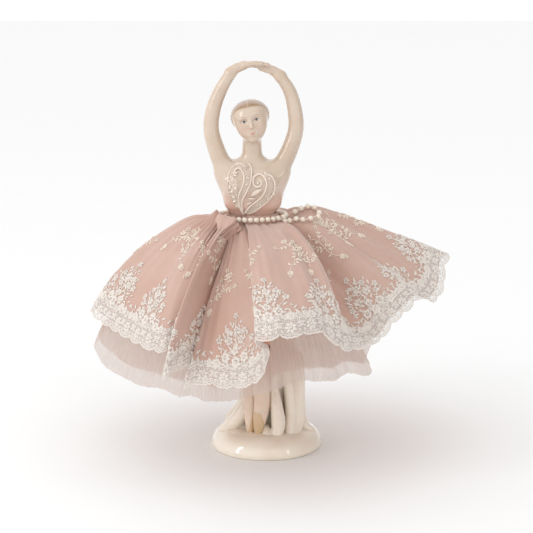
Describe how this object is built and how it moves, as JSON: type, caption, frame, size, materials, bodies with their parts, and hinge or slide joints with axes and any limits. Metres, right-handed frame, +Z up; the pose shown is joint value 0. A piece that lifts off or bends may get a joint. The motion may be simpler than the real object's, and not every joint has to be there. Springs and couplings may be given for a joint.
{
  "type": "porcelain ballerina figurine",
  "caption": "Glazed porcelain dancer with raised arms on a domed base, wearing a gathered lace-edged fabric skirt over tulle, with a pearl string at the waist.",
  "frame": {"origin": "centre of the base's flat underside, on the surface it stands on", "axes": "+Z up through the dancer; the dancer faces -Y; +X towards the dancer's left hand"},
  "size_m": [0.199, 0.1949, 0.2112],
  "materials": {
    "ivory_glaze": "clear gloss glaze over ivory porcelain",
    "skin_glaze": "clear gloss glaze over a pale flesh tint, with painted features and bodice",
    "slipper_glaze": "gloss glaze over tan paint",
    "hair_glaze": "gloss glaze over light brown paint",
    "tulle": "sheer net",
    "peach_lining": "soft satin lining",
    "pink_cloth": "dusty pink cloth under fine net with embroidered sprigs",
    "white_lace": "corded lace",
    "white_tape": "woven cotton tape",
    "white_cord": "twisted silky cord",
    "pearl": "pearlescent coating on imitation pearls",
    "thread": "spun thread"
  },
  "bodies": {
    "root": {"base": "ivory_glaze", "drape_column": "ivory_glaze", "leg_front": "skin_glaze", "leg_back": "skin_glaze", "slipper_front": "slipper_glaze", "slipper_back": "slipper_glaze", "torso": "skin_glaze", "head": "skin_glaze", "hair_bun": "hair_glaze", "arm_left": "skin_glaze", "arm_right": "skin_glaze", "petticoat_inner": "tulle", "petticoat_outer": "tulle", "skirt_lining": "peach_lining", "overskirt": "pink_cloth", "lace_border": "white_lace", "waistband": "white_tape", "bodice_applique": "white_lace", "scroll_left": "white_cord", "scroll_right": "white_cord", "bodice_beads": "pearl", "waist_thread": "thread", "waist_pearls": "pearl", "loop_thread": "thread", "loop_pearls": "pearl"}
  },
  "joints": []
}
